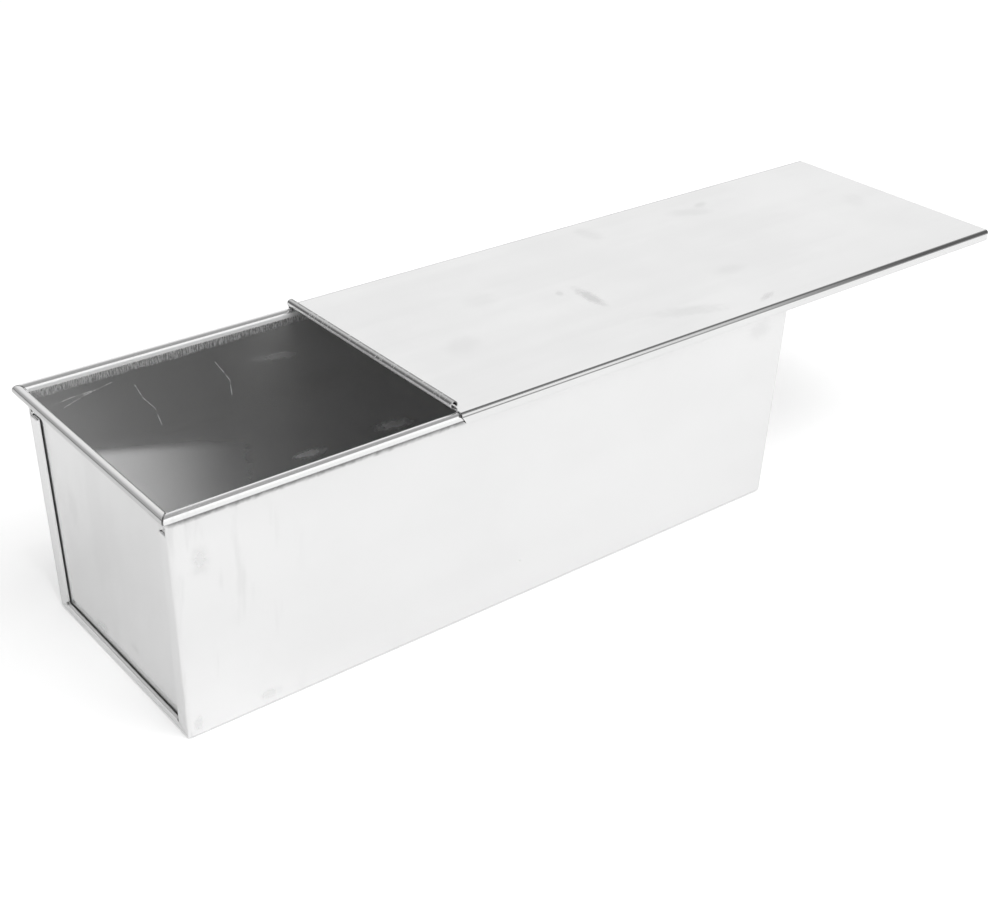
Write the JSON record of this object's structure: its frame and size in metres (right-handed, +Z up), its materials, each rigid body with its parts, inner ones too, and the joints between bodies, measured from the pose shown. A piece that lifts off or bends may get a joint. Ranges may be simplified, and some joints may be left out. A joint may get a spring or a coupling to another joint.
{
  "type": "lidded loaf pan",
  "caption": "Long straight-sided sandwich loaf pan folded from thin tinned sheet, with a wired rim and a flat lid that slides along it.",
  "frame": {"origin": "middle of the pan's flat base, at the height of the table it stands on", "axes": "+X along the pan's length, the way the lid is drawn open; +Y across it, to the wall away from the camera; +Z up"},
  "size_m": [0.4521, 0.1242, 0.1059],
  "materials": {
    "pan_tin": "bright tinned sheet, satin, with faint streaks and fingerprints",
    "lid_tin": "bright tinned sheet, satin, with faint smudges",
    "wire_steel": "plain drawn wire, hidden in the rim"
  },
  "bodies": {
    "pan": {"pan_sheet": "pan_tin", "left_end_panel": "pan_tin", "right_end_panel": "pan_tin", "rim_wire": "wire_steel"},
    "lid": {"lid_sheet": "lid_tin"}
  },
  "joints": [
    {"name": "lid_slide", "type": "slide", "parent": "pan", "child": "lid", "axis": [1, 0, 0], "range_m": [-0.133, 0.18]}
  ]
}
